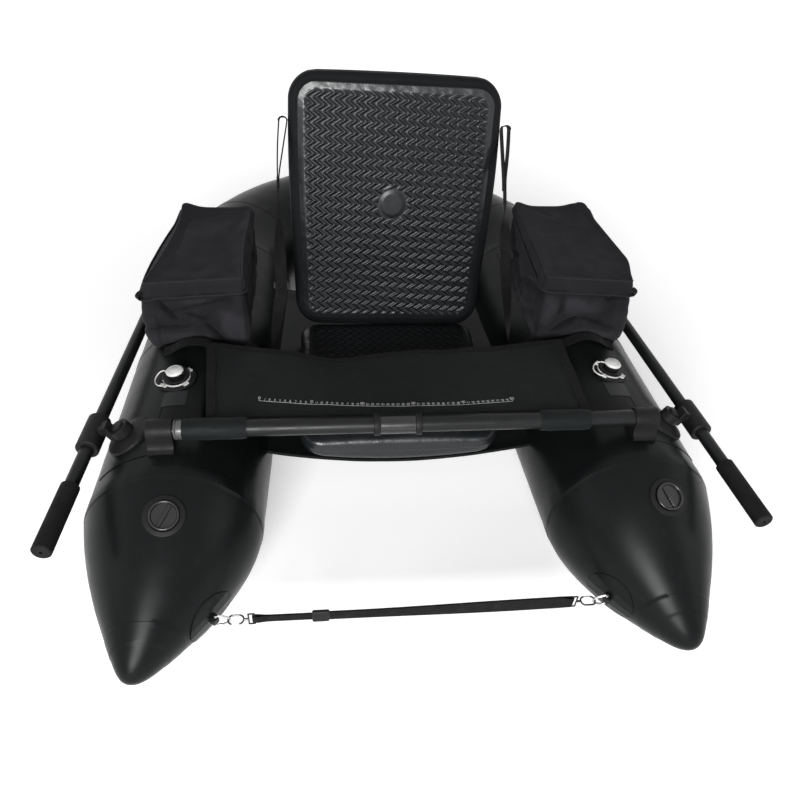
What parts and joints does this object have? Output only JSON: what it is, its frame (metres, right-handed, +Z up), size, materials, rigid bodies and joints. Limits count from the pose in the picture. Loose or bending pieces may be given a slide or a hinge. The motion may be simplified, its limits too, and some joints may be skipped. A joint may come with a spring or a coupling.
{
  "type": "float tube",
  "caption": "U-shaped inflatable float tube with a seat and backrest, side bags, apron on a crossbar, bow strap and hinged oars.",
  "frame": {"origin": "bottom centre of the bounding box, on the ground under the middle of the craft", "axes": "+Z up, -Y towards the bows, +X towards the right-hand tube as seen from in front of the bows"},
  "size_m": [1.2378, 1.6313, 0.7763],
  "materials": {
    "tube_skin": "coated fabric, black, low sheen",
    "bag_nylon": "woven nylon, black, matte",
    "pressed_foam": "pressed foam with a woven relief, black, satin",
    "webbing": "webbing, black, matte",
    "apron_cloth": "coated cloth, black, low sheen",
    "black_tube": "black coated tube, satin",
    "black_plastic": "moulded, black, satin",
    "white_plastic": "moulded, white, satin",
    "grip_rubber": "rubber, black, matte",
    "stainless_steel": "polished steel"
  },
  "bodies": {
    "hull": {"left_air_tube": "tube_skin", "right_air_tube": "tube_skin", "seat_sling": "tube_skin", "seat_cushion": "pressed_foam", "left_strap_buckle": "black_plastic", "right_strap_buckle": "black_plastic", "left_anchor_strap": "webbing", "right_anchor_strap": "webbing", "left_side_bag": "bag_nylon", "right_side_bag": "bag_nylon", "left_carry_handle": "webbing", "right_carry_handle": "webbing", "apron_panel": "apron_cloth", "left_apron_tab": "bag_nylon", "right_apron_tab": "bag_nylon", "left_bar_holder": "black_plastic", "right_bar_holder": "black_plastic", "left_air_valve_base": "black_plastic", "right_air_valve_base": "black_plastic", "left_air_valve_ring": "white_plastic", "right_air_valve_ring": "white_plastic", "left_dump_valve_ring": "black_plastic", "right_dump_valve_ring": "black_plastic", "left_d_ring_patch": "tube_skin", "right_d_ring_patch": "tube_skin", "left_snap_hook": "stainless_steel", "right_snap_hook": "stainless_steel", "bow_strap": "webbing", "bow_strap_slider": "black_plastic", "left_oarlock_base": "black_plastic", "right_oarlock_base": "black_plastic"},
    "crossbar": {"left_bar_tube": "black_tube", "right_bar_tube": "black_tube", "bar_joint": "black_plastic"},
    "backrest": {"backrest_cushion": "pressed_foam", "left_back_strap": "webbing", "right_back_strap": "webbing"},
    "left_lid": {"left_bag_lid": "bag_nylon"},
    "right_lid": {"right_bag_lid": "bag_nylon"},
    "left_valve_cap": {"left_air_valve_cap": "white_plastic"},
    "right_valve_cap": {"right_air_valve_cap": "white_plastic"},
    "left_dump_cap": {"left_dump_valve_cap": "black_plastic"},
    "right_dump_cap": {"right_dump_valve_cap": "black_plastic"},
    "left_ring": {"left_d_ring": "stainless_steel"},
    "right_ring": {"right_d_ring": "stainless_steel"},
    "left_gate": {"left_hook_gate": "stainless_steel"},
    "right_gate": {"right_hook_gate": "stainless_steel"},
    "left_swivel": {"left_oarlock_swivel": "black_plastic"},
    "right_swivel": {"right_oarlock_swivel": "black_plastic"},
    "left_oar": {"left_oarlock_clamp": "black_plastic", "left_oar_shaft": "black_tube", "left_oar_grip": "grip_rubber", "left_oar_blade": "black_plastic"},
    "right_oar": {"right_oarlock_clamp": "black_plastic", "right_oar_shaft": "black_tube", "right_oar_grip": "grip_rubber", "right_oar_blade": "black_plastic"}
  },
  "joints": [
    {"name": "crossbar_slide", "type": "slide", "parent": "hull", "child": "crossbar", "axis": [1, 0, 0], "range_m": [0, 0.03]},
    {"name": "backrest_fold", "type": "hinge", "parent": "hull", "child": "backrest", "pos_m": [0, -0.0175, 0.23991], "axis": [1, 0, 0], "range_deg": [0, 60]},
    {"name": "left_lid_hinge", "type": "hinge", "parent": "hull", "child": "left_lid", "pos_m": [-0.39787, 0.1581, 0.44], "axis": [-1, 0, 0], "range_deg": [0, 110]},
    {"name": "right_lid_hinge", "type": "hinge", "parent": "hull", "child": "right_lid", "pos_m": [0.39787, 0.1581, 0.44], "axis": [-1, 0, 0], "range_deg": [0, 110]},
    {"name": "left_valve_cap_turn", "type": "hinge", "parent": "hull", "child": "left_valve_cap", "pos_m": [-0.44038, -0.2955, 0.3168], "axis": [-0.1219, 0.0061, 0.9925], "range_deg": [0, 270]},
    {"name": "right_valve_cap_turn", "type": "hinge", "parent": "hull", "child": "right_valve_cap", "pos_m": [0.44038, -0.2955, 0.3168], "axis": [0.1219, 0.0061, 0.9925], "range_deg": [0, 270]},
    {"name": "left_dump_cap_turn", "type": "hinge", "parent": "hull", "child": "left_dump_cap", "pos_m": [-0.42593, -0.616, 0.28684], "axis": [0.0763, -0.4834, 0.8721], "range_deg": [0, 90]},
    {"name": "right_dump_cap_turn", "type": "hinge", "parent": "hull", "child": "right_dump_cap", "pos_m": [0.45526, -0.616, 0.28633], "axis": [0.1077, -0.4673, 0.8775], "range_deg": [0, 90]},
    {"name": "left_ring_swing", "type": "hinge", "parent": "hull", "child": "left_ring", "pos_m": [-0.3513, -0.71172, 0.11843], "axis": [0.05, -0.1137, 0.9922], "range_deg": [-4, 4]},
    {"name": "right_ring_swing", "type": "hinge", "parent": "hull", "child": "right_ring", "pos_m": [0.3513, -0.71172, 0.11843], "axis": [0.05, 0.1137, -0.9922], "range_deg": [-4, 4]},
    {"name": "left_gate_hinge", "type": "hinge", "parent": "hull", "child": "left_gate", "pos_m": [-0.31266, -0.72008, 0.11719], "axis": [0, 0, -1], "range_deg": [0, 25], "stiffness_Nm_per_rad": 0.02},
    {"name": "right_gate_hinge", "type": "hinge", "parent": "hull", "child": "right_gate", "pos_m": [0.31266, -0.70308, 0.11719], "axis": [0, 0, -1], "range_deg": [0, 25], "stiffness_Nm_per_rad": 0.02},
    {"name": "left_oar_swing", "type": "hinge", "parent": "hull", "child": "left_swivel", "pos_m": [-0.512, -0.4305, 0.29383], "axis": [-0.5297, 0.0265, 0.8478], "range_deg": [0, 70]},
    {"name": "right_oar_swing", "type": "hinge", "parent": "hull", "child": "right_swivel", "pos_m": [0.512, -0.4305, 0.29383], "axis": [-0.5297, -0.0265, -0.8478], "range_deg": [0, 70]},
    {"name": "left_oar_tilt", "type": "hinge", "parent": "left_swivel", "child": "left_oar", "pos_m": [-0.57662, -0.4247, 0.29574], "axis": [0.8434, -0.0897, 0.5298], "range_deg": [0, 10]},
    {"name": "right_oar_tilt", "type": "hinge", "parent": "right_swivel", "child": "right_oar", "pos_m": [0.57662, -0.4247, 0.29574], "axis": [0.8434, 0.0897, -0.5298], "range_deg": [0, 10]}
  ]
}
